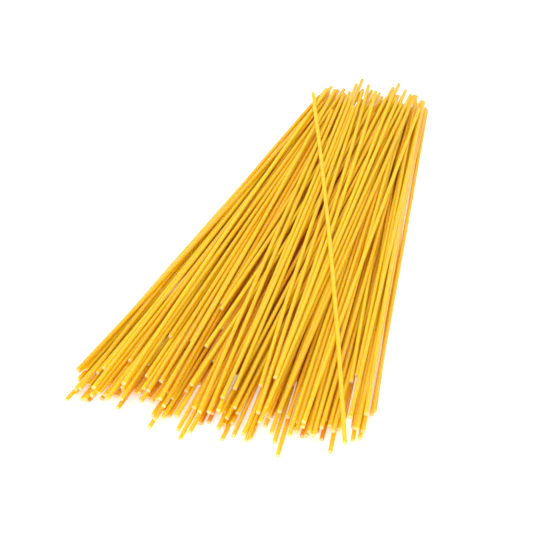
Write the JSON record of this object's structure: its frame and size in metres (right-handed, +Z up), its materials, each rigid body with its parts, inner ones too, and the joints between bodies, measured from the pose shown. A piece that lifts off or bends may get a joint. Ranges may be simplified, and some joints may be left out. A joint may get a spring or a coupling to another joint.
{
  "type": "bundle of dry spaghetti",
  "caption": "Loose bundle of dry spaghetti on a flat surface, gathered at one end and fanned out at the other, with one strand lying slantwise over the top.",
  "frame": {"origin": "centre of the bounding box, at the flat underside that lies on the table", "axes": "+Y along the strands towards the gathered, narrow end; +X to the right seen from the spread end; +Z up"},
  "size_m": [0.1352, 0.2978, 0.0249],
  "materials": {
    "spaghetti_bundle": "dry durum wheat pasta, satin, warm golden yellow",
    "crossing_strand": "dry durum wheat pasta, satin, warm golden yellow"
  },
  "bodies": {
    "root": {"spaghetti_bundle": "spaghetti_bundle", "crossing_strand": "crossing_strand"}
  },
  "joints": []
}
